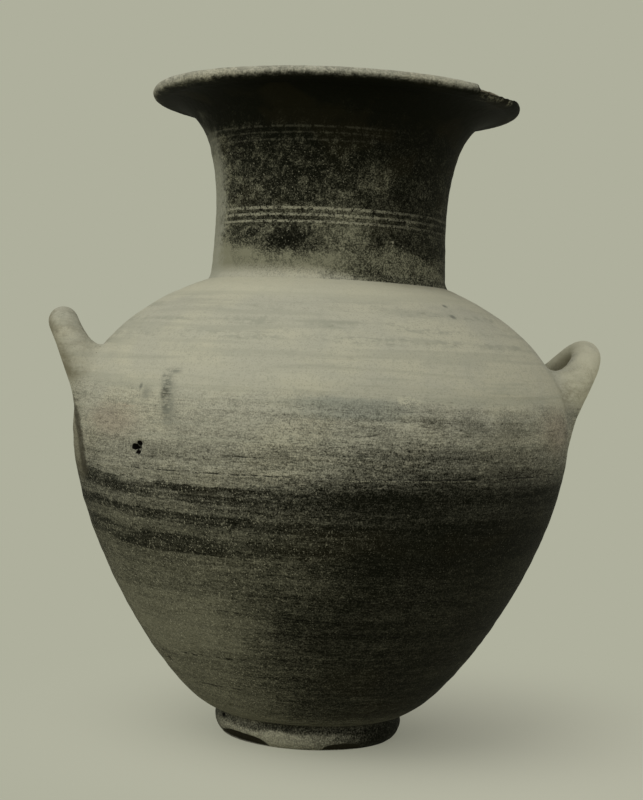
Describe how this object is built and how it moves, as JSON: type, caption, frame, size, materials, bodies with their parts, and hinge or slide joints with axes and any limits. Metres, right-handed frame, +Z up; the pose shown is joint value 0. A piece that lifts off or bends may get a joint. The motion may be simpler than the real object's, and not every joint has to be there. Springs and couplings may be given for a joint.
{
  "type": "greek pithos",
  "caption": "Tall storage jar of fired clay with a ring foot, swelling body, narrow neck, flared chipped lip and upright loop handles on the shoulder.",
  "frame": {"origin": "on the ground at the jar's axis, in the middle of the foot ring", "axes": "+Z up along the jar's axis, the two handles along X with the taller one on -X, front towards -Y"},
  "size_m": [0.5274, 0.467, 0.6],
  "materials": {
    "pale_clay": "pale fired clay with a thin matt wash, pitted and stained",
    "dark_slip": "worn dark slip with throwing marks, scratches and bare lines",
    "foot_clay": "half-worn dark slip over pale clay, chipped along the ground edge"
  },
  "bodies": {
    "root": {"foot_ring": "foot_clay", "lower_body": "dark_slip", "upper_body": "pale_clay", "neck": "dark_slip", "rim": "dark_slip", "handle_left": "pale_clay", "handle_right": "pale_clay"}
  },
  "joints": []
}
